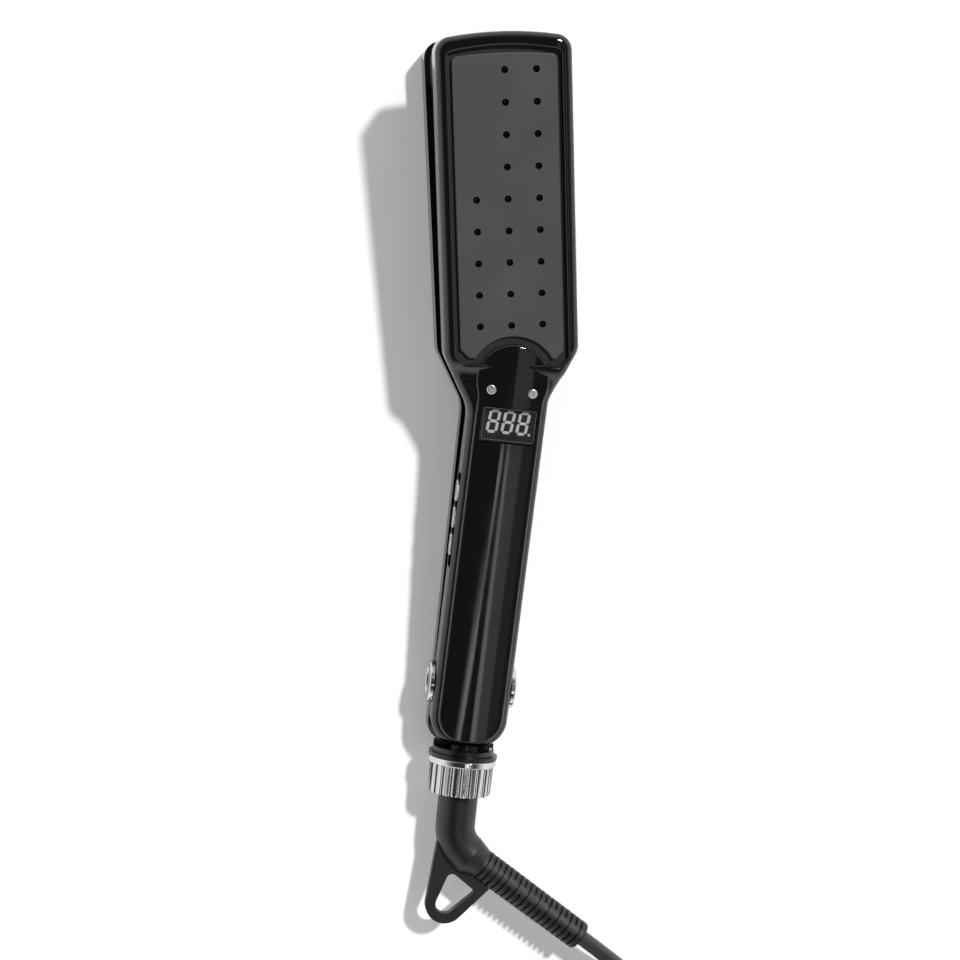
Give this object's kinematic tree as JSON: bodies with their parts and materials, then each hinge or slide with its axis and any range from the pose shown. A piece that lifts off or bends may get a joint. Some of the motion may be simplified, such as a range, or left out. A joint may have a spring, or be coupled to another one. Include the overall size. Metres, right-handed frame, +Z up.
{
  "type": "curved hair straightener",
  "caption": "Hair straightener with two hinged arms, a head bent sideways, floating heated plates, side buttons, a turning lock ring and a swivelling ribbed cord exit.",
  "frame": {"origin": "on the surface that the lower arm lies on, straight below the middle of the hinge pin", "axes": "+Y along the handle towards the head, +X to the right seen from above, +Z up"},
  "size_m": [0.1951, 0.488, 0.057],
  "materials": {
    "gloss_shell": "gloss moulded",
    "satin_panel": "satin moulded",
    "black_trim": "fine satin",
    "bright_trim": "polished",
    "coated_plate": "smooth ceramic coating",
    "heat_plastic": "matt moulded",
    "ceramic": "fired ceramic",
    "spring_steel": "bright",
    "silicone": "matt",
    "lens": "clear smoked",
    "display": "moulded",
    "board": "solder mask",
    "brush_brass": "bright",
    "lead_cover": "smooth",
    "cord_rubber": "satin",
    "pin_nickel": "nickel plated"
  },
  "bodies": {
    "lower_arm": {"lower_shell": "gloss_shell", "lower_vent_panel": "satin_panel", "lower_plate_carrier": "heat_plastic", "lower_carrier_screws": "spring_steel", "lower_plate_cushions": "silicone", "lower_inner_cover": "heat_plastic", "power_board": "board", "lower_leads": "lead_cover", "hinge_pin": "spring_steel", "hinge_caps": "bright_trim", "hinge_discs": "black_trim", "opening_spring": "spring_steel", "neck_collar": "black_trim", "ring_clip": "spring_steel", "slip_contacts": "brush_brass"},
    "lower_plate": {"lower_plate": "coated_plate", "lower_heater": "ceramic", "lower_heater_clamp": "spring_steel", "lower_thermal_fuse": "spring_steel"},
    "upper_arm": {"upper_shell": "gloss_shell", "upper_vent_panel": "satin_panel", "upper_plate_carrier": "heat_plastic", "upper_carrier_screws": "spring_steel", "upper_plate_cushions": "silicone", "upper_inner_cover": "heat_plastic", "display_lens": "lens", "display_module": "display", "control_board": "board", "button_board": "board", "crown_screws": "bright_trim"},
    "upper_plate": {"upper_plate": "coated_plate", "upper_heater": "ceramic", "upper_heater_clamp": "spring_steel", "upper_thermistor": "ceramic"},
    "power_button": {"power_button": "bright_trim"},
    "minus_button": {"minus_button": "bright_trim"},
    "plus_button": {"plus_button": "bright_trim"},
    "lock_ring": {"lock_ring": "bright_trim"},
    "lock_bolt": {"lock_bolt": "spring_steel"},
    "cord_swivel": {"swivel_spindle": "black_trim", "cord_elbow": "black_trim", "strain_relief": "cord_rubber", "cord": "cord_rubber", "cord_coil": "cord_rubber", "plug_lead": "cord_rubber", "power_plug": "cord_rubber", "plug_pins": "pin_nickel"}
  },
  "joints": [
    {"name": "arm_hinge", "type": "hinge", "parent": "lower_arm", "child": "upper_arm", "pos_m": [0, 0, 0.0145], "axis": [1, 0, 0], "range_deg": [-6.1, 0], "stiffness_Nm_per_rad": 0.5, "springref_deg": 40.11, "deforming": ["opening_spring"]},
    {"name": "upper_plate_float", "type": "slide", "parent": "upper_arm", "child": "upper_plate", "axis": [0, -0.1071, 0.9942], "range_m": [0, 0.001], "stiffness_N_per_m": 1500, "springref_m": -0.002, "deforming": ["upper_plate_cushions"]},
    {"name": "lower_plate_float", "type": "slide", "parent": "lower_arm", "child": "lower_plate", "axis": [0, 0, -1], "range_m": [0, 0.001], "stiffness_N_per_m": 1500, "springref_m": -0.002, "deforming": ["lower_plate_cushions"]},
    {"name": "power_button_press", "type": "slide", "parent": "upper_arm", "child": "power_button", "axis": [1, 0, 0], "range_m": [0, 0.0006], "stiffness_N_per_m": 400, "springref_m": -0.001},
    {"name": "minus_button_press", "type": "slide", "parent": "upper_arm", "child": "minus_button", "axis": [1, 0, 0], "range_m": [0, 0.0006], "stiffness_N_per_m": 400, "springref_m": -0.001},
    {"name": "plus_button_press", "type": "slide", "parent": "upper_arm", "child": "plus_button", "axis": [1, 0, 0], "range_m": [0, 0.0006], "stiffness_N_per_m": 400, "springref_m": -0.001},
    {"name": "lock_ring_turn", "type": "hinge", "parent": "lower_arm", "child": "lock_ring", "pos_m": [0, -0.04, 0.0145], "axis": [0, 1, 0], "range_deg": [0, 60]},
    {"name": "lock_bolt_slide", "type": "slide", "parent": "lower_arm", "child": "lock_bolt", "axis": [0, 1, 0], "range_m": [0, 0.0031]},
    {"name": "cord_swivel_turn", "type": "hinge", "parent": "lower_arm", "child": "cord_swivel", "pos_m": [0, -0.05, 0.0145], "axis": [0, 1, 0], "continuous": true}
  ],
  "couplings": [
    {"joint": "lock_bolt_slide", "follows": "lock_ring_turn", "m_per_rad": 0.0028648}
  ]
}
